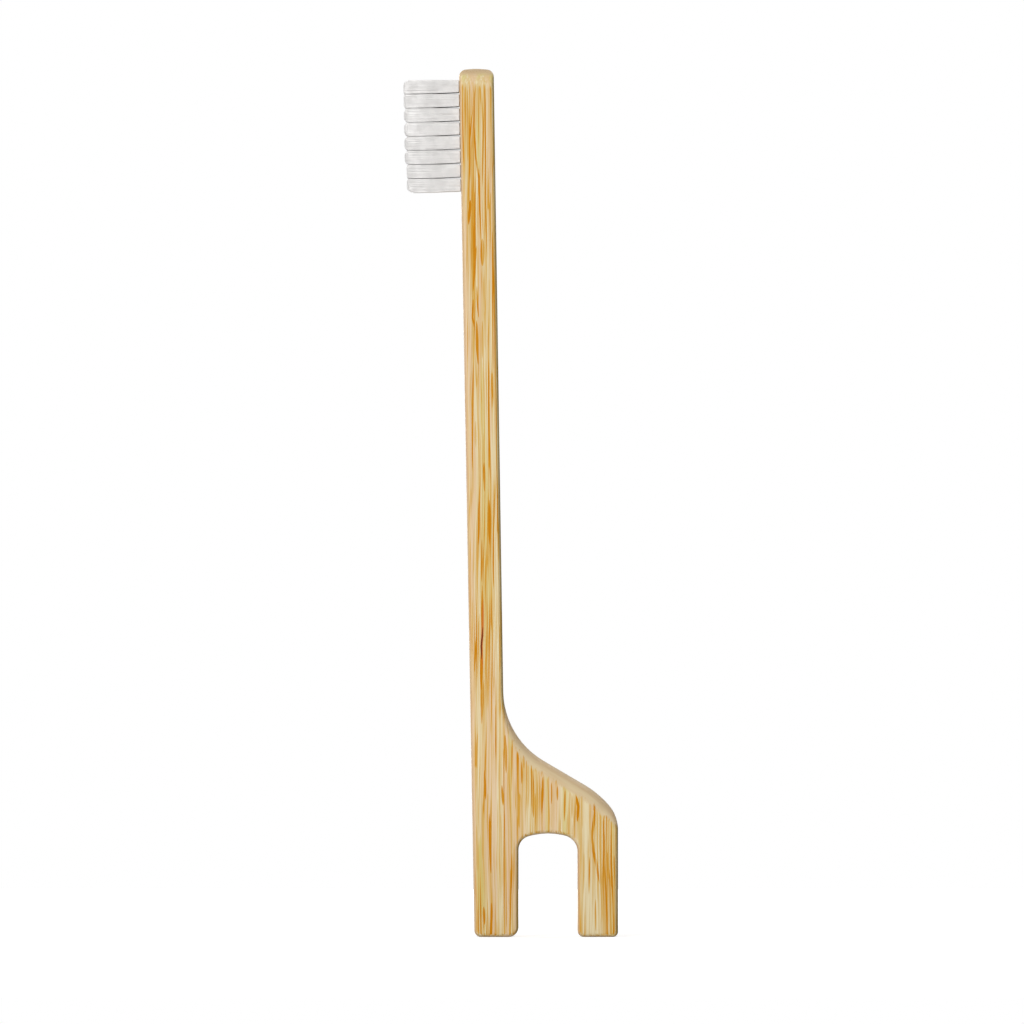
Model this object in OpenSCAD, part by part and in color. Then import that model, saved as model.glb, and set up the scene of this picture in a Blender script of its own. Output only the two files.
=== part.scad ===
// Baby toothbrush cut from one bamboo board. The outline is a long-necked animal that stands
// on two legs: the head carries the bristles, and the neck is the handle.
// Millimetres. +Z is up, the bristles point towards -X and the board's thickness lies along Y.
// The origin is on the floor, at the centre of the whole brush's bounding box.

/* [Head and neck] */
// Height from the floor to the top of the head
total_h = 130; // [120:1:145]
// Thickness of the bamboo board, across the brush
board_t = 10; // [9.4:0.1:12]
// Forward lean of the front edge, in degrees
lean = 1.02; // [0:0.02:2]
// Depth of the head from front to back
head_d = 5.2; // [4.8:0.1:6]
// Depth of the neck at its foot, where its back edge meets the slope of the back
neck_base_d = 4.95; // [4.5:0.05:6]
// Radius of the head's two top corners, seen from the side
head_corner_r = 1.1; // [0.8:0.05:1.4]
// Radius of the slight crown along the top of the head
head_crown_r = 11; // [8:0.5:16]
// Angle at which the crown falls away to each top corner, in degrees
head_crown_fall = 6; // [2:0.5:7]
// Radius that rounds the end of the head, seen from the bristles
head_end_r = 2.8; // [1.6:0.1:3.2]

/* [Body and legs] */
// Width of the front leg at the floor
front_leg_w = 6.6; // [5.5:0.1:8]
// Clear width between the two legs
leg_gap = 8.85; // [8.4:0.05:12]
// Width of the rear leg
rear_leg_w = 6.05; // [5:0.05:8]
// Height of the arch between the legs
arch_h = 15.5; // [12:0.05:16]
// Radius of the arch's corner at the front leg
arch_front_r = 2.1; // [1.6:0.05:2.2]
// Radius of the arch's corner at the rear leg
arch_rear_r = 2.5; // [1.6:0.05:2.6]
// Radius of the arch's crown
arch_crown_r = 9.8; // [7:0.1:12]
// Angle at which the crown falls away to each corner of the arch, in degrees
arch_fall = 13; // [8:0.5:13]
// Height at which the neck's back edge and the slope of the back would cross
withers_z = 29.8; // [28:0.1:33]
// Radius of the hollow curve from the neck into the back
withers_r = 12.3; // [9:0.1:13]
// Slope of the back, in degrees below level
back_slope = 30.4; // [28:0.2:33]
// Slope of the croup, between the back and the rear edge, in degrees below level
croup_slope = 46; // [43:0.5:50]
// Radius of the curve from the back into the croup
croup_r = 14; // [8:0.5:15]
// Height at which the croup's slope and the rear edge would cross
haunch_z = 18.3; // [17.6:0.05:18.8]
// Radius of the curve from the croup into the rear edge
haunch_r = 5.6; // [3:0.1:5.8]
// Radius of the front foot's toe corner
front_toe_r = 1; // [0.75:0.05:1.6]
// Radius of the front foot's heel corner
front_heel_r = 1.5; // [0.75:0.05:1.8]
// Radius of the rear foot's toe corner
rear_toe_r = 0.95; // [0.75:0.05:1.6]
// Radius of the rear foot's heel corner
rear_heel_r = 0.8; // [0.75:0.05:1.6]

/* [Sanded edges] */
// Radius sanded on the edges of the head, the neck and the legs
edge_r = 0.65; // [0.4:0.05:0.7]
// Radius sanded on the edges of the back
back_edge_r = 2.2; // [0.8:0.1:2.4]

/* [Bristles] */
// Rows of tufts along the head
rows = 8; // [6:1:9]
// Columns of tufts across the head
columns = 4; // [3:1:4]
// Distance between rows
row_pitch = 2.11; // [2:0.01:2.4]
// Distance between columns
column_pitch = 2.1; // [2:0.05:2.3]
// Distance from the top of the head to the middle of the first row
first_row = 2.6; // [2.5:0.05:4]
// Height of the bristles above the wood
bristle_h = 8.4; // [7:0.1:11]
// How much shorter the rows nearest the neck are trimmed
heel_trim = 0.25; // [0:0.05:1]
// Number of rows trimmed shorter
heel_rows = 2; // [0:1:3]
// Clearance between neighbouring tufts
tuft_clearance = 0.02; // [0.02:0.01:0.2]
// Distance from the middle of a tuft to its rounded corners
corner_reach = 1.24; // [1.2:0.01:1.35]
// Filament ribs that show along each side of a tuft
ribs = 6; // [5:1:8]
// Height over which a tuft spreads after it leaves its hole
spread_h = 0.5; // [0.4:0.1:1.5]
// Height of the rounded tip of a tuft
tip_h = 0.9; // [0.5:0.05:1.2]

/* [Tuft holes and anchors] */
// Diameter of the hole drilled for a tuft
hole_d = 1.6; // [1.4:0.05:1.65]
// Depth of the hole to its shoulder
hole_depth = 3.2; // [2.8:0.1:3.4]
// Point angle of the drill, in degrees
drill_angle = 130; // [118:1:140]
// Radial clearance of a tuft in its hole
hole_clearance = 0.02; // [0.01:0.01:0.05]
// Thickness of the folded filaments below an anchor
fold_t = 0.5; // [0.4:0.05:0.7]
// Thickness of the metal anchor plate
anchor_t = 0.25; // [0.2:0.05:0.3]
// Height of the anchor plate along the hole
anchor_h = 1.3; // [1:0.1:1.5]
// How far each end of the anchor bites into the wood
anchor_bite = 0.15; // [0.1:0.01:0.2]
// Angle of the anchors to the brush's length, in degrees
anchor_angle = 45; // [30:1:60]

/* [Hidden] */
// Steps across each sanded edge, and around the corners of the outline
edge_steps = 6;
corner_steps = 6;
arch_steps = 8;
crown_steps = 4;
withers_steps = 12;
croup_steps = 4;
haunch_steps = 10;
head_end_steps = 4;
// Steps along a tuft's spread and around its tip
spread_steps = 4;
tip_steps = 5;
// How full the rounded tip of a tuft is: 2 is an ellipse
tip_power = 2.4;
// Width of a rib, as a share of the distance between two of them
rib_overlap = 1.15;
// Roundness of the folded end of a tuft, as a share over its radius
fold_over = 1.15;
// How far a cutting tool reaches past the wood that it cuts
reach = 1;
$fn = 64;

hole_r = hole_d / 2;
root_r = hole_r - hole_clearance;
tuft_w = min(row_pitch, column_pitch) - tuft_clearance;
rib_pitch = tuft_w / (ribs - 1 + rib_overlap);
rib_r = rib_overlap * rib_pitch / 2;
anchor_w = hole_d + 2 * anchor_bite;
rear_x = front_leg_w + leg_gap + rear_leg_w;
row_z = total_h - first_row;

// The front edge, as seen from the side: its place at a height, and the bristles' reach in front of it
function front_x(z) = -z * tan(lean);
tip_x = front_x(row_z) - bristle_h * cos(lean);
centre_x = (rear_x + tip_x) / 2;

function tuft_name(row, column) = str("tuft_row", row, "_col", column);

function unit(v) = v / norm(v);
function turned(v, angle) = [v[0] * cos(angle) - v[1] * sin(angle), v[0] * sin(angle) + v[1] * cos(angle)];
function blend(t) = t * t * (3 - 2 * t);
function reversed(list) = [for (i = [len(list) - 1:-1:0]) list[i]];

// The outline is walked with the wood on the left. Each of its points is
// [x, z, the outward normal's x and z, the radius sanded on the edge there].
// This rounds the corner at p between a and b with radius r, or with what half of the shorter
// side has room for. The sanded edge runs from e0 to e1.
function corner(a, p, b, r, steps, e0 = edge_r, e1 = edge_r) =
    let (
        to_a = unit(a - p),
        to_b = unit(b - p),
        half = acos(to_a * to_b) / 2,
        outwards = cross(p - a, b - p) > 0 ? 1 : -1,
        room = min(norm(a - p), norm(b - p)) / 2,
        fit_r = min(r, room * tan(half)),
        centre = p + unit(to_a + to_b) * fit_r / sin(half),
        start = p + to_a * fit_r / tan(half) - centre
    )
    [for (i = [0:steps])
        let (
            spoke = turned(start, outwards * (180 - 2 * half) * i / steps),
            normal = unit(spoke) * outwards
        )
        [
            centre[0] + spoke[0],
            centre[1] + spoke[1],
            normal[0],
            normal[1],
            e0 + (e1 - e0) * blend(i / steps)
        ]
    ];

// A point on the straight edge from a to b, at height z
function on_edge(a, b, z, e = edge_r) =
    let (
        along = unit(b - a),
        x = a[0] + (b[0] - a[0]) * (z - a[1]) / (b[1] - a[1])
    )
    [x, z, along[1], -along[0], e];

// Corners of the outline before they are rounded. A crown's arc keeps to half of each of its slopes.
head_crown_fit_r = min(head_crown_r, head_d / (4 * sin(head_crown_fall)));
crown_peak_z = total_h + head_crown_fit_r * (1 / cos(head_crown_fall) - 1);
head_top_z = crown_peak_z - head_d / 2 * tan(head_crown_fall);
head_front = [front_x(head_top_z), head_top_z];
head_back = head_front + [head_d, 0];
head_crown = [head_front[0] + head_d / 2, crown_peak_z];
front_toe = [0, 0];
front_heel = [front_leg_w, 0];
arch_crown_fit_r = min(arch_crown_r, leg_gap / (4 * sin(arch_fall)));
arch_peak_z = arch_h + arch_crown_fit_r * (1 / cos(arch_fall) - 1);
arch_spring_z = arch_peak_z - leg_gap / 2 * tan(arch_fall);
arch_front = [front_leg_w, arch_spring_z];
arch_crown = [front_leg_w + leg_gap / 2, arch_peak_z];
arch_rear = [front_leg_w + leg_gap, arch_spring_z];
rear_toe = [front_leg_w + leg_gap, 0];
rear_heel = [rear_x, 0];
haunch = [rear_x, haunch_z];
withers = [front_x(withers_z) + neck_base_d, withers_z];
croup_x = (withers_z + withers[0] * tan(back_slope) - haunch_z - rear_x * tan(croup_slope))
    / (tan(back_slope) - tan(croup_slope));
croup = [croup_x, haunch_z + (rear_x - croup_x) * tan(croup_slope)];

// The rounded corners, each as a run of outline points
head_front_run = corner(head_crown, head_front, front_toe, head_corner_r, corner_steps);
front_toe_run = corner(head_front, front_toe, front_heel, front_toe_r, corner_steps);
front_heel_run = corner(front_toe, front_heel, arch_front, front_heel_r, corner_steps);
arch_front_run = corner(front_heel, arch_front, arch_crown, arch_front_r, arch_steps);
arch_crown_run = corner(arch_front, arch_crown, arch_rear, arch_crown_fit_r, crown_steps);
arch_rear_run = corner(arch_crown, arch_rear, rear_toe, arch_rear_r, arch_steps);
rear_toe_run = corner(arch_rear, rear_toe, rear_heel, rear_toe_r, corner_steps);
rear_heel_run = corner(rear_toe, rear_heel, haunch, rear_heel_r, corner_steps);
haunch_run = corner(rear_heel, haunch, croup, haunch_r, haunch_steps, edge_r, back_edge_r);
croup_run = corner(haunch, croup, withers, croup_r, croup_steps, back_edge_r, back_edge_r);
withers_run = corner(croup, withers, head_back, withers_r, withers_steps, back_edge_r, edge_r);
head_back_run = corner(withers, head_back, head_crown, head_corner_r, corner_steps);
head_crown_run = corner(head_back, head_crown, head_front, head_crown_fit_r, crown_steps);

// Heights between the head's corners and its straight sides at which the rounded end is drawn
head_end_z = total_h - head_end_r;
head_side_z = head_front_run[corner_steps][1];
head_side_angle = asin((head_side_z - head_end_z) / head_end_r);
head_end_heights = [for (i = [head_end_steps - 1:-1:0])
    head_end_z + head_end_r * sin(head_side_angle * i / head_end_steps)];

// The outline's chains, named for the cap of each face: every chain runs downwards
front_chain = concat(
    head_front_run,
    [for (z = head_end_heights) on_edge(head_front, front_toe, z)],
    [for (p = reversed(concat(croup_run, withers_run))) on_edge(head_front, front_toe, p[1])]
);
back_chain = concat(
    reversed(head_back_run),
    [for (z = head_end_heights) on_edge(withers, head_back, z)],
    reversed(withers_run),
    reversed(croup_run)
);
crown_half = crown_steps / 2;
front_inner_chain = concat(
    reversed([for (i = [0:crown_half - 1]) arch_crown_run[i]]),
    reversed(arch_front_run),
    reversed(front_heel_run)
);
rear_inner_chain = concat(
    [for (i = [crown_half + 1:crown_steps]) arch_crown_run[i]],
    arch_rear_run,
    rear_toe_run
);
rear_chain = concat(reversed(haunch_run), reversed(rear_heel_run));
outline = concat(
    front_chain,
    front_toe_run,
    reversed(front_inner_chain),
    [arch_crown_run[crown_half]],
    rear_inner_chain,
    reversed(rear_chain),
    reversed(back_chain),
    [for (i = [1:crown_steps - 1]) head_crown_run[i]]
);

// Where each chain lies in the outline
function span(from, count) = [for (i = [0:count - 1]) from + i];
front_at = span(0, len(front_chain));
toe_at = span(len(front_at), len(front_toe_run));
front_inner_at = span(len(front_at) + len(toe_at), len(front_inner_chain));
arch_top_at = len(front_at) + len(toe_at) + len(front_inner_at);
rear_inner_at = span(arch_top_at + 1, len(rear_inner_chain));
rear_at = span(arch_top_at + 1 + len(rear_inner_at), len(rear_chain));
back_at = span(arch_top_at + 1 + len(rear_inner_at) + len(rear_at), len(back_chain));
crown_at = span(arch_top_at + 1 + len(rear_inner_at) + len(rear_at) + len(back_at), crown_steps - 1);

// Half of the board's thickness at a height: the end of the head is rounded
function half_t(z) =
    let (above = min(max(z - head_end_z, 0), head_end_r))
    board_t / 2 - head_end_r + sqrt(head_end_r * head_end_r - above * above);

// The outline drawn one step further round the sanded edge: angle 0 is the silhouette and 90 the face
function ring(angle, side) = [for (p = outline)
    let (
        sunk = p[4] * (1 - cos(angle)),
        z = p[1] - p[3] * sunk,
        y = board_t / 2 - p[4] * (1 - sin(angle))
    )
    [p[0] - p[2] * sunk, side * y * half_t(z) / (board_t / 2), z]
];

// Triangles between two chains of the outline that both run downwards, a on the left
function stitched(a, b, i = 0, j = 0) =
    let (
        a_done = i == len(a) - 1,
        b_done = j == len(b) - 1
    )
    a_done && b_done ? [] :
    !a_done && (b_done || outline[a[i + 1]][1] >= outline[b[j + 1]][1])
        ? concat([[a[i], a[i + 1], b[j]]], stitched(a, b, i + 1, j))
        : concat([[a[i], b[j + 1], b[j]]], stitched(a, b, i, j + 1));

front_split = front_at[len(front_at) - 1];
back_split = back_at[0];
face_triangles = concat(
    [for (i = [0:crown_steps - 3]) [crown_at[i], crown_at[i + 1], front_at[0]]],
    [[back_at[len(back_at) - 1], crown_at[0], front_at[0]]],
    stitched(front_at, reversed(back_at)),
    [[front_split, arch_top_at, back_split]],
    stitched(concat([front_split], toe_at), concat([arch_top_at], reversed(front_inner_at))),
    stitched(concat([arch_top_at], rear_inner_at), concat([back_split], reversed(rear_at)))
);

// The whole board, cut to the outline with its edges sanded round
module board() {
    count = len(outline);
    angles = [for (i = [0:edge_steps]) 90 * i / edge_steps];
    rings = concat(
        [for (angle = reversed(angles)) ring(angle, -1)],
        [for (angle = angles) ring(angle, 1)]
    );
    last = len(rings) - 1;
    points = [for (one_ring = rings) each one_ring];
    edge_faces = [for (k = [0:last - 1], i = [0:count - 1])
        let (next = (i + 1) % count)
        [k * count + i, (k + 1) * count + i, (k + 1) * count + next, k * count + next]
    ];
    near_face = [for (t = face_triangles) [t[0], t[2], t[1]]];
    far_face = [for (t = face_triangles) [t[0], t[1], t[2]] + last * count * [1, 1, 1]];
    polyhedron(points = points, faces = concat(near_face, far_face, edge_faces), convexity = 6);
}

// Puts a child in the head: its +Z becomes the bristles' direction and z = 0 the face of the wood
module in_head(row, column) {
    translate([front_x(row_z), 0, row_z])
        rotate([0, -(90 + lean), 0])
            translate([-(row - 1) * row_pitch, (column - (columns + 1) / 2) * column_pitch, 0])
                children();
}

module each_tuft() {
    for (row = [1:rows], column = [1:columns])
        in_head(row, column)
            children();
}

// One drilled hole, with the conical bottom that the drill leaves
module tuft_hole() {
    point_h = hole_r / tan(drill_angle / 2);
    rotate_extrude()
        polygon([
            [0, -hole_depth - point_h],
            [hole_r, -hole_depth],
            [hole_r, reach],
            [0, reach]
        ]);
}

// The plate's place in its hole, at the height that the folded filaments below leave it
anchor_bottom = -hole_depth + fold_t;
module anchor_plate(top = anchor_bottom + anchor_h) {
    rotate([0, 0, anchor_angle])
        translate([-anchor_w / 2, -anchor_t / 2, anchor_bottom])
            cube([anchor_w, anchor_t, top - anchor_bottom]);
}

// Section of a tuft above the wood: it fills its place between its neighbours, and the
// outer filaments show as ribs along its sides
module tuft_section() {
    inner_w = tuft_w - 2 * rib_r;
    square(inner_w, center = true);
    for (side = [0:3], rib = [0:ribs - 2])
        rotate(90 * side)
            translate([inner_w / 2, rib * rib_pitch - inner_w / 2])
                circle(r = rib_r);
}

// Outline of a tuft turned about its middle: it spreads out of its hole, and its tip is rounded
function tuft_profile(height) = concat(
    [[0, 0]],
    [for (i = [0:spread_steps])
        [root_r + (corner_reach - root_r) * blend(i / spread_steps), spread_h * i / spread_steps]],
    [for (i = [0:tip_steps])
        let (angle = 90 * i / tip_steps)
        [
            corner_reach * pow(cos(angle), 2 / tip_power),
            height - tip_h + tip_h * pow(sin(angle), 2 / tip_power)
        ]]
);

// One tuft: filaments folded in half round their anchor, with both ends standing out of the hole
module tuft(row, column) {
    height = bristle_h - (row > rows - heel_rows ? heel_trim : 0);
    fold_r = root_r * fold_over;
    color("ghostwhite")
        translate([-centre_x, 0, 0])
            in_head(row, column)
                difference() {
                    union() {
                        intersection() {
                            linear_extrude(height + reach)
                                tuft_section();
                            rotate_extrude()
                                polygon(tuft_profile(height));
                        }
                        intersection() {
                            translate([0, 0, -hole_depth])
                                cylinder(r = root_r, h = hole_depth);
                            union() {
                                translate([0, 0, -hole_depth + fold_r])
                                    rotate([0, 0, anchor_angle])
                                        rotate([0, 90, 0])
                                            cylinder(r = fold_r, h = hole_d, center = true);
                                translate([-hole_r, -hole_r, -hole_depth + fold_r])
                                    cube([hole_d, hole_d, hole_depth]);
                            }
                        }
                    }
                    anchor_plate();
                }
}

// The metal plates that hold the tufts, driven across their holes into the wood on both sides
module tuft_anchors() {
    color("goldenrod")
        translate([-centre_x, 0, 0])
            each_tuft()
                anchor_plate();
}

// The one wooden piece, with its tuft holes and the slits that the anchors cut on their way in
module handle() {
    color("burlywood")
        translate([-centre_x, 0, 0])
            difference() {
                board();
                each_tuft()
                    tuft_hole();
                each_tuft()
                    anchor_plate(top = reach);
            }
}

handle();
tuft_anchors();
for (row = [1:rows], column = [1:columns])
    tuft(row, column);
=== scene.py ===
import math
import random

import bpy
from mathutils import Matrix, Vector


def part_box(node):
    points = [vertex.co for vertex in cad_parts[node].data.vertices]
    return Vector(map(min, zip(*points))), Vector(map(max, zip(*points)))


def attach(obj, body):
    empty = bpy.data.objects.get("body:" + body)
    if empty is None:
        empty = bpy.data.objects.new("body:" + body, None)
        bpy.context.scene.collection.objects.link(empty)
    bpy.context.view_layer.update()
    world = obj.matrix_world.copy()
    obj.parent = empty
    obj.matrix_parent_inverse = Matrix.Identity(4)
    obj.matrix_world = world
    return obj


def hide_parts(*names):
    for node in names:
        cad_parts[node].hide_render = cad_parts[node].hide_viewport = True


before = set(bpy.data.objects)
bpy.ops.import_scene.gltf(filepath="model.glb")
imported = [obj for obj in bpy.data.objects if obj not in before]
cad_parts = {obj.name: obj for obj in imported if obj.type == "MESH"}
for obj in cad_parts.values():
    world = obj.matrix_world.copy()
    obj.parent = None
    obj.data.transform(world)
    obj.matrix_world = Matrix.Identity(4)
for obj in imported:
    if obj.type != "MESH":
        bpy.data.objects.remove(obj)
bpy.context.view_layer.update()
mm = 0.001  # the frame is in metres, and the sizes below are in millimetres


# small helpers

def deselectAll():
    if bpy.context.object and bpy.context.object.mode != "OBJECT":
        bpy.ops.object.mode_set(mode="OBJECT")
    bpy.ops.object.select_all(action="DESELECT")


def takeUp(piece):
    # makes one object the active and only selected one
    deselectAll()
    piece.select_set(True)
    bpy.context.view_layer.objects.active = piece


def applyModifier(piece, kind, **settings):
    takeUp(piece)
    added = piece.modifiers.new(kind.lower(), kind)
    for name, value in settings.items():
        setattr(added, name, value)
    bpy.ops.object.modifier_apply(modifier=added.name)


def bakePlace(piece):
    takeUp(piece)
    bpy.ops.object.transform_apply(location=True, rotation=True, scale=True)


def linear(part):
    # the curve of a picture's values, undone
    return part / 12.92 if part <= 0.04045 else ((part + 0.055) / 1.055) ** 2.4


def colour(red, green, blue):
    # from the 0 to 255 of a picture to the linear values that a shader takes
    return tuple(linear(part / 255) for part in (red, green, blue)) + (1,)


class Wire:
    # one socket of a material, on which sums are written as in plain Python
    def __init__(self, tree, socket=None):
        self.tree = tree
        self.socket = socket

    def node(self, kind, settings=None, sockets=None, out=0):
        made = self.tree.nodes.new("ShaderNode" + kind)
        for name, value in (settings or {}).items():
            if name == "stops":
                setStops(made.color_ramp, value)
            else:
                setattr(made, name, value)
        for name, value in (sockets or {}).items():
            if isinstance(value, Wire):
                self.tree.links.new(value.socket, made.inputs[name])
            else:
                made.inputs[name].default_value = value
        return Wire(self.tree, made.outputs[out])

    def maths(self, operation, *values):
        return self.node("Math", {"operation": operation}, dict(enumerate(values)))

    def __add__(self, other):
        return self.maths("ADD", self, other)

    def __radd__(self, other):
        return self.maths("ADD", other, self)

    def __sub__(self, other):
        return self.maths("SUBTRACT", self, other)

    def __rsub__(self, other):
        return self.maths("SUBTRACT", other, self)

    def __mul__(self, other):
        return self.maths("MULTIPLY", self, other)

    def __rmul__(self, other):
        return self.maths("MULTIPLY", other, self)

    def __truediv__(self, other):
        return self.maths("DIVIDE", self, other)

    def __rtruediv__(self, other):
        return self.maths("DIVIDE", other, self)

    def __pow__(self, other):
        return self.maths("POWER", self, other)

    def __abs__(self):
        return self.maths("ABSOLUTE", self)

    def orMore(self, other):
        return self.maths("MAXIMUM", self, other)

    def fade(self, start, end, low=0.0, high=1.0):
        # runs smoothly from low to high while this value goes from start to end
        limits = {"Value": self, "From Min": start, "From Max": end, "To Min": low, "To Max": high}
        return self.node("MapRange", {"interpolation_type": "SMOOTHSTEP"}, limits)

    def ramped(self, start, end):
        # runs straight from 0 to 1 while this value goes from start to end
        return self.node("MapRange", None, {"Value": self, "From Min": start, "From Max": end})

    def noise(self, place, scale=1.0, detail=0.0):
        return self.node("TexNoise", None, {"Vector": place, "Scale": scale, "Detail": detail})

    def parts(self):
        split = self.node("SeparateXYZ", None, {"Vector": self})
        return [split] + [Wire(self.tree, split.socket.node.outputs[name]) for name in "YZ"]

    def place(self, x, y, z):
        return self.node("CombineXYZ", None, {"X": x, "Y": y, "Z": z})

    def mixed(self, factor, first, second):
        # the colour sockets go by number, because several sockets of the node share a name
        settings = {"data_type": "RGBA", "blend_type": "MIX", "clamp_factor": True}
        return self.node("Mix", settings, {0: factor, 6: first, 7: second}, out=2)


def setStops(ramp, stops):
    while len(ramp.elements) < len(stops):
        ramp.elements.new(1)
    for element, (position, value) in zip(ramp.elements, stops):
        element.position = position
        element.color = value


def newMaterial(name):
    material = bpy.data.materials.new(name)
    material.use_nodes = True
    tree = material.node_tree
    shader = tree.nodes["Principled BSDF"]
    return material, Wire(tree), shader


def feed(wire, shader, name):
    wire.tree.links.new(wire.socket, shader.inputs[name])


def dress(piece, material):
    piece.data.materials.clear()
    piece.data.materials.append(material)


# camera, first, at the level of the middle of the picture and straight at the side of the board

cameraSetup = {
    "distance": 4000,        # long and level, so that both legs are seen straight from the side
    "span": 153.46,          # what the picture's width covers at the brush
    "middle": (0.21, 63.62), # what the picture's centre shows, across and up
    "sensor": 36,
    "sight": 100,            # how far it sees, in metres
}


def makeCamera(setup):
    acrossX, upZ = setup["middle"]
    place = Vector((acrossX, -setup["distance"], upZ)) * mm
    bpy.ops.object.camera_add(location=place, rotation=(math.radians(90), 0, 0))
    camera = bpy.context.object
    camera.data.sensor_width = setup["sensor"]
    camera.data.lens = setup["sensor"] * setup["distance"] / setup["span"]
    camera.data.clip_end = setup["sight"]
    bpy.context.scene.camera = camera


makeCamera(cameraSetup)
print("camera placed")


# bamboo

bamboo = {
    "tones": [                         # from the palest fibre to the darkest
        (0.0, (224, 209, 170)),
        (0.25, (216, 193, 145)),
        (0.5, (211, 179, 118)),
        (0.75, (206, 157, 64)),
        (1.0, (196, 126, 8)),
    ],
    # how the fibres stray, slowly and quickly: a swing's width and length, and how far it goes
    "strays": [(3, 15, 0.7), (0.9, 4, 0.08)],
    # layers of fibres: how wide and how long they are, and where in the noise they are read
    "layers": {
        "broad": (1.5, 60, 3.1),
        "middling": (0.55, 26, 8.3),
        "veins": (0.3, 14, 31.9),
        "cores": (0.25, 9, 63.4),
        "lines": (0.26, 50, 71.2),
        "hair": (0.15, 10, 47.2),
        "pale": (0.24, 20, 92.6),
        "green": (1.2, 50, 17.7),
        "rosy": (1.2, 50, 55.1),
    },
    # the values of the noise between which a layer comes in, and how much it darkens the wood, or,
    # with the pale one, lightens it
    "depths": {
        "middling": (0.46, 0.62, 0.12),
        "veins": (0.52, 0.62, 0.24),
        "cores": (0.6, 0.65, 0.4),
        "lines": (0.59, 0.63, 0.4),
        "hair": (0.35, 0.65, 0.47),
        "pale": (0.54, 0.6, 0.24),
    },
    "broadDepth": 0.4,
    "base": 0.23,                      # how dark the ground between the streaks is
    "nearSide": (-3.4, -4.4),          # the placed strokes lie in this outer layer of the near side
    "nearCalm": 0.15,                  # how much fainter the other fibres are there
    "nearStray": 0.15,                 # the part of the straying that the placed strokes follow
    "nearDepth": 0.85,                 # how much the single streaks darken the wood
    # how soft the edges of each kind of placed stroke are
    "softness": {"marks": 0.06, "crack": 0.05, "halo": 0.12, "bands": 1.5, "tints": 0.4},
    "endStart": 126.7,                 # the streaks run out above this height, at the end of the head
    "endHeight": 2.4,                  # over this height
    "endLoss": 0.3,                    # how much the noise has lost by then
    "endShares": {"middling": 0.5, "veins": 0.7, "hair": 3},
    "rosy": (218, 181, 147),
    "green": (206, 191, 112),
    "tintStart": (0.52, 0.66),         # the values of the noise between which a tint comes in
    "tintShare": 0.5,
    "tintDepths": (0.75, 0.3),         # a tint shows on pale wood and not on the dark streaks
    "paintedSheen": (207, 172, 138),            # painted sheen: paler edges on the bristles' side, where the light from the left catches them
    "paintedSheenTurn": (-0.3, -0.8),           # how far the surface has turned where it starts and is full
    "paintedSheenShare": 0.7,
    "paintedEdgeShade": (146, 122, 60),         # painted shade: darker edges on the other side, turned away from the light
    "paintedEdgeShadeTurn": (0.3, 0.85),
    "paintedEdgeShadeHeights": (45, 20),        # it grows from the first share to the second on the way down
    "paintedEdgeShadeShares": (0.65, 0.85),
    "crack": (114, 42, 4),
    "crackHalo": (196, 104, 34),
    "roughness": (0.45, 0.62),
    "roughDepths": (0.1, 0.9),
    "relief": 0.02,                    # depth of the fibres under the finger
    "reliefStrength": 0.5,
    "reliefVeins": (0.66, 0.5),
    "specular": 0.07,
}

# where the saw and the sander cut across the fibres
endGrain = {
    "colour": (216, 195, 156),
    # the darker tone, for the layers and for the painted shade
    "shade": (205, 177, 138),
    "pore": (176, 142, 88),
    "layer": (5, 0.3),                 # length and thickness of one of its layers
    "layerDetail": 2.0,
    "layerShade": (0.35, 0.7, 0.0, 0.5),
    "paintedTurnShade": (0.85, 0.6, 0.0, 0.6),    # painted shade: darker where the surface turns away from the sides
    "cell": (0.42, 3),                 # width and height of the cell that holds one pore
    "poreEdge": (0.3, 0.16),
    "poreTurn": (0.6, 0.97),           # pores show only where the surface looks up or down
    "poreShare": 0.55,
    "ragged": 0.13,                    # how far the fibres shift the line where it starts
    "raggedDepths": (0.3, 0.9),
    "turn": (0.03, 0.24),              # how far the surface has turned up where it starts and is full
    "flatTurn": (0.55, 0.9),           # the same at the end of the head and under the feet
    "headGap": 1.0,                    # height over which it gives way to the end of the head
}

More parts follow.
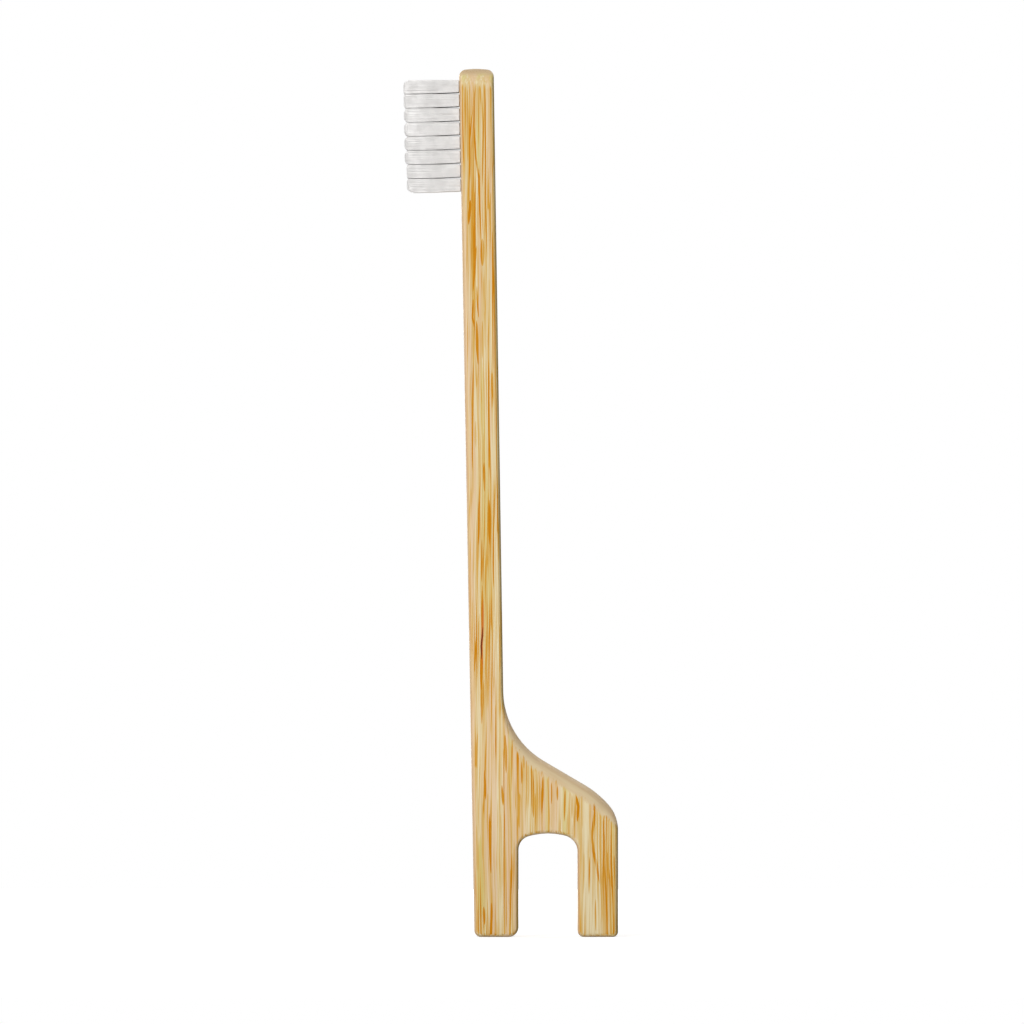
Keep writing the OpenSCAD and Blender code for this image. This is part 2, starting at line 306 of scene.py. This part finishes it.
# streaks that stand out: the line each one follows, as x and z points from the top down, its half
# width and how dark it is
marks = {
    "head": [
        ([(-5.22, 128.0), (-5.42, 125.5), (-5.5, 121.3), (-5.2, 116.6), (-4.75, 113.7), (-4.4, 104.0)],
         0.17, 0.9),
        ([(-5.84, 127.4), (-5.76, 123.3), (-6.1, 119.5), (-6.05, 113.0)], 0.13, 0.7),
        ([(-4.28, 126.8), (-4.1, 121.0), (-4.22, 112.0)], 0.16, 0.8),
        ([(-3.74, 125.8), (-3.74, 104.0)], 0.12, 0.75),
        ([(-6.5, 127.0), (-6.4, 116.0)], 0.3, 0.3),
        ([(-6.0, 110.4), (-6.3, 106.6)], 0.24, 0.8),
        ([(-5.33, 110.2), (-5.33, 99.0)], 0.16, 0.8),
    ],
    "neck": [
        ([(-5.07, 103.6), (-5.28, 101.4), (-5.45, 99.1), (-5.63, 96.6)], 0.18, 0.9),
        ([(-4.2, 104.6), (-4.2, 100.4)], 0.34, 0.6),
        ([(-5.07, 97.6), (-5.0, 95.4), (-4.76, 92.6)], 0.17, 0.9),
        ([(-5.6, 95.6), (-5.7, 92.8), (-5.3, 90.8)], 0.17, 0.8),
        ([(-5.07, 92.4), (-5.0, 88.2), (-4.86, 85.6)], 0.22, 1.0),
        ([(-4.2, 92.4), (-4.2, 86.4)], 0.15, 0.6),
        ([(-5.58, 86.2), (-5.7, 78.0), (-5.8, 69.5)], 0.17, 0.9),
        ([(-3.28, 86.6), (-3.28, 71.0)], 0.13, 0.7),
        ([(-2.74, 106.0), (-2.6, 84.0)], 0.15, 0.95),
        ([(-5.25, 77.4), (-5.25, 73.0)], 0.13, 0.6),
        ([(-4.0, 71.2), (-3.96, 66.6)], 0.2, 0.7),
        ([(-4.74, 65.6), (-4.74, 58.6)], 0.18, 0.9),
        ([(-3.22, 65.6), (-3.2, 58.6)], 0.18, 0.8),
        ([(-2.6, 61.8), (-2.6, 52.0)], 0.16, 0.7),
        ([(-4.3, 59.6), (-4.3, 53.0)], 0.15, 0.7),
        ([(-4.2, 52.8), (-4.24, 45.2)], 0.17, 0.8),
        ([(-5.14, 45.2), (-5.4, 39.6)], 0.14, 0.7),
        ([(-4.3, 43.6), (-4.36, 36.8)], 0.28, 0.8),
        ([(-4.66, 48.6), (-4.64, 41.0)], 0.24, 0.3),
        ([(-4.1, 38.4), (-4.3, 31.8)], 0.2, 0.7),
        ([(-2.3, 35.0), (-2.2, 26.4)], 0.13, 0.7),
        ([(-2.55, 104.0), (-2.35, 90.0), (-2.2, 78.0)], 0.12, 0.7),
        ([(-2.3, 85.0), (-2.0, 66.0), (-1.85, 52.0)], 0.14, 0.8),
    ],
    "body": [
        ([(-0.84, 30.4), (-0.7, 27.8), (-0.66, 24.4)], 0.24, 0.9),
        ([(-1.3, 22.8), (-1.12, 19.6)], 0.19, 0.9),
        ([(-3.9, 25.0), (-3.68, 20.4)], 0.18, 0.8),
        ([(-3.2, 18.6), (-2.92, 9.4)], 0.22, 0.9),
        ([(1.65, 26.4), (1.68, 22.8)], 0.14, 0.8),
        ([(3.2, 25.4), (3.42, 17.8)], 0.28, 0.65),
        ([(4.86, 24.2), (4.68, 18.4)], 0.2, 1.0),
        ([(6.1, 23.2), (6.14, 19.8)], 0.16, 0.8),
        ([(7.0, 22.6), (7.02, 20.4)], 0.17, 0.8),
        ([(8.16, 22.2), (8.06, 17.2)], 0.18, 0.9),
        ([(9.2, 21.4), (9.2, 17.6)], 0.13, 0.7),
        ([(9.84, 21.2), (10.12, 19.5), (9.96, 17.2)], 0.24, 1.0),
    ],
    "legs": [
        ([(-1.0, 19.4), (-1.02, 2.0)], 0.12, 0.7),
        ([(-4.02, 4.6), (-3.9, 1.8)], 0.2, 0.75),
        ([(-2.85, 5.2), (-2.85, 1.2)], 0.2, 0.65),
        ([(12.65, 19.6), (12.5, 17.6), (12.25, 15.8), (12.15, 13.8)], 0.24, 0.6),
        ([(12.15, 16.0), (12.4, 12.8), (12.85, 10.8), (13.35, 7.8)], 0.24, 0.6),
        ([(13.84, 18.4), (14.0, 14.4), (13.94, 8.8)], 0.17, 0.9),
        ([(11.82, 12.2), (11.72, 6.2)], 0.14, 0.8),
        ([(12.7, 5.8), (12.74, 0.8)], 0.15, 0.7),
    ],
}

# a short open crack in the neck and the darker wood round it, written in the same way
crack = [([(-4.18, 46.6), (-4.2, 45.2), (-4.38, 43.5), (-4.33, 41.4)], 0.14, 1.0)]
crackHalo = [([(-4.1, 51.0), (-4.18, 46.0), (-4.3, 43.8), (-4.2, 39.6)], 0.26, 0.8)]

# broad soft bands where the fibres as a whole are darker, or paler
darkBands = [
    ([(14.0, 24.0), (14.0, 0.0)], 2.6, 0.1),
    ([(-2.6, 112.0), (-2.2, 30.0)], 1.2, 0.16),
]
paleBands = [([(-2.4, 24.0), (-2.4, 0.0)], 3.2, 0.12)]

# broad soft bands of another tint
tints = {
    "green": [
        ([(-4.85, 125.5), (-4.85, 113.0)], 0.4, 0.8),
        ([(-4.33, 87.0), (-4.33, 74.0)], 0.4, 0.8),
        ([(-4.5, 15.5), (-4.4, 2.4)], 0.75, 0.9),
    ],
    "rosy": [
        ([(-3.1, 127.0), (-3.0, 96.0)], 0.45, 0.7),
        ([(-2.95, 86.0), (-2.9, 72.0)], 0.3, 0.7),
        ([(-6.45, 83.0), (-6.2, 60.0)], 0.35, 0.7),
        ([(-5.5, 34.0), (-5.25, 1.0)], 0.35, 0.7),
        ([(-0.2, 16.0), (-0.1, 2.0)], 0.7, 0.8),
    ],
}

strokeTaper = 0.6  # the power by which a stroke narrows to its two points


def alongLine(points, x, z):
    # how far to the side of a line a place is, and how far down the line, from 0 to 1
    centre = points[0][0]
    for (fromX, fromZ), (toX, toZ) in zip(points, points[1:]):
        centre = z.ramped(fromZ, toZ) * (toX - fromX) + centre
    down = z.ramped(points[0][1], points[-1][1])
    return abs(x - centre), down


def strokes(lines, x, z, softness):
    # all the strokes of a list as one mask, each one pointed at both ends
    total = None
    for points, halfWidth, strength in lines:
        aside, down = alongLine(points, x, z)
        width = (down * (1 - down) * 4) ** strokeTaper * halfWidth
        stroke = (width - aside).fade(0, softness, 0.0, strength)
        total = stroke if total is None else total.orMore(stroke)
    return total


def makeEndGrain(setup, start, x, y, z, along, normalY, normalZ):
    # paler wood in thin layers, with the pores of the cut fibres, and painted shade where the surface
    # turns away from the sides
    length, thickness = setup["layer"]
    layerPlace = start.place(x / length, y / thickness, z / length)
    layers = start.noise(layerPlace, detail=setup["layerDetail"])
    # the layers' own darker tone, plus painted shade where the surface turns away from the sides
    shade = layers.fade(*setup["layerShade"]) + normalY.fade(*setup["paintedTurnShade"])
    plain = start.mixed(shade, colour(*setup["colour"]), colour(*setup["shade"]))
    width, height = setup["cell"]
    cellPlace = start.place(along / width, y / width, z / height)
    cells = start.node("TexVoronoi", None, {"Vector": cellPlace, "Scale": 1.0})
    pores = cells.fade(*setup["poreEdge"]) * normalZ.fade(*setup["poreTurn"]) * setup["poreShare"]
    return start.mixed(pores, plain, colour(*setup["pore"]))


def makeBamboo(setup, endSetup):
    material, start, shader = newMaterial("bamboo")
    x, y, z = [part / mm for part in start.node("TexCoord", out="Object").parts()]
    sideways, across, upwards = start.node("TexCoord", out="Normal").parts()
    normalY = abs(across)
    normalZ = abs(upwards)

    # fibres run up the board, stray a little and are drawn out many times their width
    slow, quick = [
        (start.noise(start.place(x / width, y / width, z / length)) - 0.5) * reach
        for width, length, reach in setup["strays"]
    ]
    stray = slow + quick
    along = x + stray

    def fibres(name):
        width, length, shift = setup["layers"][name]
        return start.noise(start.place(along / width + shift, y / width, z / length + shift))

    def darkening(layer, name):
        low, high, depth = setup["depths"][name]
        return layer.fade(low, high) * depth

    # at the end of the head each streak runs out in a point at its own height
    endStart = setup["endStart"]
    runOut = z.fade(endStart, endStart + setup["endHeight"], 0.0, setup["endLoss"])
    shares = setup["endShares"]
    broad = fibres("broad")
    middling = fibres("middling")
    veins = fibres("veins")
    cores = fibres("cores") - runOut
    lines = fibres("lines") - runOut
    hair = fibres("hair")
    pale = fibres("pale")

    # what is placed one by one lies on the near side alone
    softness = setup["softness"]
    near = y.fade(*setup["nearSide"])
    bent = x + stray * setup["nearStray"]
    everyMark = [mark for group in marks.values() for mark in group]
    single = strokes(everyMark, bent, z, softness["marks"]) * near
    split = strokes(crack, bent, z, softness["crack"]) * near
    halo = strokes(crackHalo, bent, z, softness["halo"]) * near

    dark = darkening(middling - runOut * shares["middling"], "middling")
    dark = dark + darkening(veins - runOut * shares["veins"], "veins")
    dark = dark + darkening(cores, "cores")
    dark = dark + darkening(lines, "lines")
    hairStart, hairEnd, hairDepth = setup["depths"]["hair"]
    dark = dark + (hair.fade(hairStart, hairEnd) - 0.5) * hairDepth * (1 - runOut * shares["hair"])
    dark = dark - darkening(pale, "pale")
    calm = 1 - near * setup["nearCalm"]
    dark = dark * calm + (broad - 0.5) * setup["broadDepth"] + setup["base"]
    # the relief below reads this much of it, because with the strokes too it is more than Cycles holds
    grain = dark
    dark = dark + single * setup["nearDepth"]
    dark = dark + strokes(darkBands, x, z, softness["bands"]) * near
    dark = dark - strokes(paleBands, x, z, softness["bands"]) * near

    stops = [(at, colour(*tone)) for at, tone in setup["tones"]]
    wood = start.node("ValToRGB", {"stops": stops}, {"Fac": dark})
    light = dark.fade(*setup["tintDepths"])
    for name in ("green", "rosy"):
        zone = fibres(name).fade(*setup["tintStart"]) * setup["tintShare"]
        placed = strokes(tints[name], x, z, softness["tints"]) * near
        wood = start.mixed(zone.orMore(placed) * light, wood, colour(*setup[name]))
    # painted sheen: the edges that face the bristles' side, towards the light, turn paler
    paintedSheenMask = sideways.fade(*setup["paintedSheenTurn"]) * near * setup["paintedSheenShare"]
    wood = start.mixed(paintedSheenMask, wood, colour(*setup["paintedSheen"]))
    # painted shade: the edges that turn away from the light, on the other side, darker and more olive
    paintedEdgeShadeMask = sideways.fade(*setup["paintedEdgeShadeTurn"]) * near
    paintedEdgeShadeMask = paintedEdgeShadeMask * z.fade(*setup["paintedEdgeShadeHeights"], *setup["paintedEdgeShadeShares"])
    wood = start.mixed(paintedEdgeShadeMask, wood, colour(*setup["paintedEdgeShade"]))

    # the end grain starts along a line that the fibres make ragged
    cutWood = makeEndGrain(endSetup, start, x, y, z, along, normalY, normalZ)
    ragged = (grain.fade(*endSetup["raggedDepths"]) + broad - 0.5) * endSetup["ragged"]
    cut = (upwards - ragged).fade(*endSetup["turn"]) * z.fade(endStart, endStart - endSetup["headGap"])
    cut = cut.orMore(normalZ.fade(*endSetup["flatTurn"]))
    finish = start.mixed(cut, wood, cutWood)
    finish = start.mixed(halo, finish, colour(*setup["crackHalo"]))
    feed(start.mixed(split, finish, colour(*setup["crack"])), shader, "Base Color")

    feed(dark.fade(*setup["roughDepths"], *setup["roughness"]), shader, "Roughness")
    grooves = (veins.fade(*setup["reliefVeins"]) + hair) * (1 - cut)
    relief = {"Strength": setup["reliefStrength"], "Distance": setup["relief"] * mm, "Height": grooves}
    feed(start.node("Bump", None, relief), shader, "Normal")
    shader.inputs["Specular IOR Level"].default_value = setup["specular"]
    return material


# nylon

nylon = {
    "colour": (234, 232, 230),
    "shade": (226, 224, 222),
    # painted shade: the tips are greyer than the sides
    "tip": (222, 220, 219),
    "paintedTipShadeReach": (15.5, 16.1),          # how far in front the painted shade on the tips starts and is at its darkest
    "leanStart": 125.2,                # the head leans, so below this height the tufts end further
    "leanRate": 0.044,                 # back, by this much of the way down
    "mottleScale": 900,
    "mottleDetail": 2,
    "mottle": (0.35, 0.65),
    "roughMottle": (0.3, 0.7),
    "roughness": (0.32, 0.48),
}


def makeMottle(setup, start, here):
    # a fine mottle of two tones, and a roughness that follows it
    mottle = start.noise(here, setup["mottleScale"], setup["mottleDetail"])
    tone = start.mixed(mottle.fade(*setup["mottle"]), colour(*setup["colour"]), colour(*setup["shade"]))
    return tone, mottle.fade(*setup["roughMottle"], *setup["roughness"])


def makeNylon(setup):
    material, start, shader = newMaterial("nylon")
    here = start.node("TexCoord", out="Object")
    tone, roughness = makeMottle(setup, start, here)
    x, z = [part / mm for part in here.parts()[::2]]
    # painted shade on the tips, towards their front ends
    reach = (setup["leanStart"] - z) * setup["leanRate"] - x
    feed(start.mixed(reach.fade(*setup["paintedTipShadeReach"]), tone, colour(*setup["tip"])), shader, "Base Color")
    feed(roughness, shader, "Roughness")
    return material


# metal strip

strip = {
    "colour": (214, 180, 110),
    "shade": (186, 148, 84),
    "mottleScale": 2500,
    "mottleDetail": 3,
    "mottle": (0.3, 0.7),
    "roughMottle": (0.3, 0.7),
    "roughness": (0.25, 0.4),
}


def makeStrip(setup):
    material, start, shader = newMaterial("anchorMetal")
    here = start.node("TexCoord", out="Object")
    tone, roughness = makeMottle(setup, start, here)
    feed(tone, shader, "Base Color")
    feed(roughness, shader, "Roughness")
    shader.inputs["Metallic"].default_value = 1.0
    return material


# handle: the CAD board's form, welded and shaded as one sanded surface

board = {
    "weld": 0.0004,          # corners nearer than this are one corner
    "crease": 32,            # edges sharper than this stay sharp, in degrees
    "normalWeight": 100,     # how much more the large faces count at a shared corner
}


def makeHandle(setup, material):
    takeUp(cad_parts["handle"])
    bpy.ops.object.duplicate()
    handle = bpy.context.object
    handle.name = "bamboo_handle"
    handle.parent = None
    for tag in [key for key in handle.keys() if key.startswith("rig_")]:
        del handle[tag]
    takeUp(handle)
    bpy.ops.object.mode_set(mode="EDIT")
    bpy.ops.mesh.select_all(action="SELECT")
    bpy.ops.mesh.remove_doubles(threshold=setup["weld"] * mm)
    bpy.ops.object.mode_set(mode="OBJECT")
    bpy.ops.object.shade_smooth_by_angle(angle=math.radians(setup["crease"]))
    applyModifier(handle, "WEIGHTED_NORMAL", keep_sharp=True, weight=setup["normalWeight"])
    dress(handle, material)
    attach(handle, "root")
    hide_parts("handle")


# tufts: bundles of separate filaments

tuftSetup = {
    "across": 14,            # filaments along each side of a bundle
    "thickness": 0.14,
    "sides": 5,
    "crease": 60,            # edges sharper than this stay sharp, in degrees
    "step": 1.0,             # distance between the filaments while they still stand in an open field
    "rootRadius": 0.75,      # what the bundle shrinks to in its hole
    "holeDepth": 3.2,
    "foldGap": 0.06,         # the filaments end this far above the bottom of the hole
    "spread": 0.16,          # height at which they have spread to their full width
    "spreadRings": (0, 0.3, 0.65, 1),  # where in that height a filament has a ring of corners
    "neckWidth": 2.05,       # width of the bundle there
    "tipWidth": 2.07,        # width of the bundle at its tip
    # how much shorter a bundle is at its upper and at its lower edge, row by row
    "tipDrops": [
        (0.7, 0.1), (0.12, 0.2), (0.4, 0.4), (0.4, 0.4),
        (0.4, 0.4), (0.4, 0.46), (0.1, 0.14), (0.12, 0.95),
    ],
    "sideDrop": 0.4,         # the most by which it is shorter at its two other edges
    "cornerDrop": 0.2,       # how much shorter its corners are than its edges
    "dropPower": 4,          # how late towards the edge it gets shorter
    "roundness": 0.1,        # of the bundle's section, from 0 for a square to 1 for a circle
    "bend": 0.5,             # the part of its length over which the ends of a bundle take their shape
    "dome": 0.09,            # height of a filament's rounded end
    "domeRings": ((0.8, 0.55), (0.45, 0.45)),  # how each ring of it narrows, and its share of the rise
    "jitter": 0.015,
    "lengthJitter": 0.09,
    "seed": 11,
}


def selectTop(piece, leastRise=0.9):
    # the faces that look upwards
    bpy.ops.object.mode_set(mode="OBJECT")
    for part in (piece.data.vertices, piece.data.edges, piece.data.polygons):
        part.foreach_set("select", [False] * len(part))
    for face in piece.data.polygons:
        face.select = face.normal.z > leastRise
    bpy.ops.object.mode_set(mode="EDIT")
    bpy.ops.mesh.select_mode(type="FACE")


def makeFilament(setup, length):
    # one upright filament with rings where the bundle bends, and a rounded end
    bpy.ops.mesh.primitive_cylinder_add(
        vertices=setup["sides"], radius=setup["thickness"] / 2 * mm, depth=length * mm,
        end_fill_type="NGON", location=(0, 0, length * mm / 2)
    )
    filament = bpy.context.object
    bakePlace(filament)
    bpy.ops.object.mode_set(mode="EDIT")
    root = setup["holeDepth"] - setup["foldGap"]
    rings = [root + setup["spread"] * part for part in setup["spreadRings"]]
    for height in rings + [(root + length) / 2]:
        bpy.ops.mesh.select_all(action="SELECT")
        bpy.ops.mesh.bisect(plane_co=(0, 0, height * mm), plane_no=(0, 0, 1))
    selectTop(filament)
    for shrink, share in setup["domeRings"]:
        rise = share * setup["dome"] * mm
        bpy.ops.mesh.extrude_region_move(TRANSFORM_OT_translate={"value": (0, 0, rise)})
        bpy.ops.transform.resize(value=(shrink, shrink, 1), center_override=(0, 0, length * mm))
    bpy.ops.object.mode_set(mode="OBJECT")
    return filament


def makeField(setup, height):
    # an open square field of upright filaments, by two arrays
    root = setup["holeDepth"] - setup["foldGap"]
    field = makeFilament(setup, root + height - setup["dome"])
    for offset in ((setup["step"] * mm, 0, 0), (0, setup["step"] * mm, 0)):
        applyModifier(
            field, "ARRAY", count=setup["across"], use_relative_offset=False,
            use_constant_offset=True, constant_offset_displace=offset
        )
    return field


def gather(tuft, setup, height, tipDrops, dice):
    # leads each filament of an open field from the hole to its own place in the bundle
    count = setup["across"]
    points = tuft.data.vertices
    corners = len(points) // count ** 2
    for column in range(count):
        for row in range(count):
            first = (column * count + row) * corners
            leadFilament(points[first:first + corners], setup, row, column, height, tipDrops, dice)
    tuft.data.update()


def inSection(u, v, roundness):
    # moves a place in a square to its place in a rounder section
    return Vector((u * math.sqrt(1 - roundness * v * v / 2), v * math.sqrt(1 - roundness * u * u / 2)))


def eased(part):
    # slow at both ends of the way from 0 to 1
    return part * part * (3 - 2 * part)


def tipDrop(setup, u, v, tipDrops):
    # how much shorter a filament is at its place in the bundle
    edge = tipDrops[0] if u > 0 else tipDrops[1]
    power = setup["dropPower"]
    drop = max(edge * u ** power, min(edge, setup["sideDrop"]) * v ** power)
    return drop + setup["cornerDrop"] * (u * v) ** power


def leadFilament(points, setup, row, column, height, tipDrops, dice):
    half = (setup["across"] - 1) / 2
    u = (row - half) / half          # the place in the field, from -1 to 1 each way
    v = (column - half) / half
    wobble = [Vector((dice.uniform(-1, 1), dice.uniform(-1, 1))) * setup["jitter"] for _ in range(2)]
    drop = tipDrop(setup, u, v, tipDrops) + dice.uniform(0, 1) * setup["lengthJitter"]
    grip = inSection(u, v, 1) * (setup["rootRadius"] - setup["thickness"] / 2)
    loose = inSection(u, v, setup["roundness"])
    neck = loose * (setup["neckWidth"] - setup["thickness"]) / 2 + wobble[0]
    tip = loose * (setup["tipWidth"] - setup["thickness"]) / 2 + wobble[1]
    root = setup["holeDepth"] - setup["foldGap"]
    spread = setup["spread"]
    for point in points:
        up = point.co.z / mm - root
        if up <= spread:
            middle = grip.lerp(neck, eased(max(0, up / spread)))
        else:
            part = (up - spread) / (height - spread)
            middle = neck.lerp(tip, part)
            up = up - drop * max(0, part - setup["bend"]) / (1 - setup["bend"])
        x = point.co.x / mm - row * setup["step"]
        y = point.co.y / mm - column * setup["step"]
        point.co = Vector((x + middle.x, y + middle.y, up)) * mm


def middleOf(name):
    low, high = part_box(name)
    return (low + high) / 2


def makeTufts(setup, material):
    # the lean of the head shows in the places of two tufts of one column
    apart = middleOf("tuft_row1_col1") - middleOf("tuft_row5_col1")
    lean = math.atan2(-apart.x, apart.z)
    fields = {}
    dice = random.Random(setup["seed"])
    for name in sorted(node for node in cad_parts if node.startswith("tuft_row")):
        low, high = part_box(name)
        whole = (high.x - low.x) / mm / math.cos(lean)
        height = round(whole - setup["holeDepth"], 2)
        if height not in fields:
            fields[height] = makeField(setup, height)
        takeUp(fields[height])
        bpy.ops.object.duplicate()
        tuft = bpy.context.object
        tuft.name = name.replace("tuft", "bristles")
        row = int(name.split("_")[1].replace("row", ""))
        gather(tuft, setup, height, setup["tipDrops"][row - 1], dice)
        bpy.ops.object.shade_smooth_by_angle(angle=math.radians(setup["crease"]))
        rise = Matrix.Translation((0, 0, (setup["holeDepth"] - whole / 2) * mm))
        point = Matrix.Rotation(-(math.radians(90) + lean), 4, "Y")
        tuft.matrix_world = Matrix.Translation((low + high) / 2) @ point @ rise
        bakePlace(tuft)
        dress(tuft, material)
        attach(tuft, "root")
        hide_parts(name)
    for field in fields.values():
        bpy.data.objects.remove(field)


bambooFinish = makeBamboo(bamboo, endGrain)
nylonFinish = makeNylon(nylon)
stripFinish = makeStrip(strip)
print("materials made")
makeHandle(board, bambooFinish)
print("handle welded and dressed")
makeTufts(tuftSetup, nylonFinish)
print("tufts bundled")
dress(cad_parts["tuft_anchors"], stripFinish)


# floor, lamps and world

studio = {
    "floorSize": 1.0,
    "floorColour": (186, 186, 186),
    "floorRoughness": 0.9,
    "floorLift": 0.72,         # added for the camera alone, so that the open floor is plain white
    "floorFade": (0.06, 0.25), # between these distances the lift rises to plain white
    "ambient": 0.11,
    "lamps": {                 # place in metres, size in metres, power in watts
        "key": ((-0.6, -1.35, 1.12), 0.7, 13.3),
        "fill": ((-0.3, -1.2, 0.06), 0.2, 7.8),
        "top": ((-0.05, -0.3, 1.1), 0.5, 1.1),
        "left": ((-1.1, -0.1, 0.4), 0.5, 1.5),
        "backLeft": ((-0.5, 1.0, 0.25), 0.5, 6.0),
        "backRight": ((0.55, 0.85, 0.9), 0.5, 6.0),
    },
    "aim": (0, 0, 0.06),
}


def seenDirectly(start):
    # camera, glossy and transmission rays
    path = start.tree.nodes.new("ShaderNodeLightPath")
    names = ("Is Camera Ray", "Is Glossy Ray", "Is Transmission Ray")
    rays = [Wire(start.tree, path.outputs[name]) for name in names]
    return rays[0].orMore(rays[1]).orMore(rays[2])


def makeFloor(setup):
    bpy.ops.mesh.primitive_plane_add(size=setup["floorSize"])
    floor = bpy.context.object
    floor.name = "floor"
    material, start, shader = newMaterial("floor")
    shader.inputs["Base Color"].default_value = colour(*setup["floorColour"])
    shader.inputs["Roughness"].default_value = setup["floorRoughness"]
    shader.inputs["Specular IOR Level"].default_value = 0.0
    shader.inputs["Emission Strength"].default_value = 1.0
    x, y = start.node("TexCoord", out="Object").parts()[:2]
    lift = ((x * x + y * y) ** 0.5).fade(*setup["floorFade"], setup["floorLift"], 1.0)
    tone = start.mixed(seenDirectly(start) * lift, (0, 0, 0, 1), (1, 1, 1, 1))
    feed(tone, shader, "Emission Color")
    dress(floor, material)


def makeWorld(setup):
    world = bpy.data.worlds.new("studio")
    bpy.context.scene.world = world
    world.use_nodes = True
    start = Wire(world.node_tree)
    background = world.node_tree.nodes["Background"]
    ambient = setup["ambient"]
    tone = start.mixed(seenDirectly(start), (ambient, ambient, ambient, 1), (1, 1, 1, 1))
    feed(tone, background, "Color")


def makeLamps(setup):
    aim = Vector(setup["aim"])
    for name, (place, size, power) in setup["lamps"].items():
        turned = (aim - Vector(place)).to_track_quat("-Z", "Y").to_euler()
        bpy.ops.object.light_add(type="AREA", location=place, rotation=turned)
        lamp = bpy.context.object
        lamp.name = name
        lamp.data.size = size
        lamp.data.energy = power


makeFloor(studio)
makeWorld(studio)
makeLamps(studio)
bpy.context.scene.view_settings.view_transform = "Standard"
print("studio lit")

deselectAll()
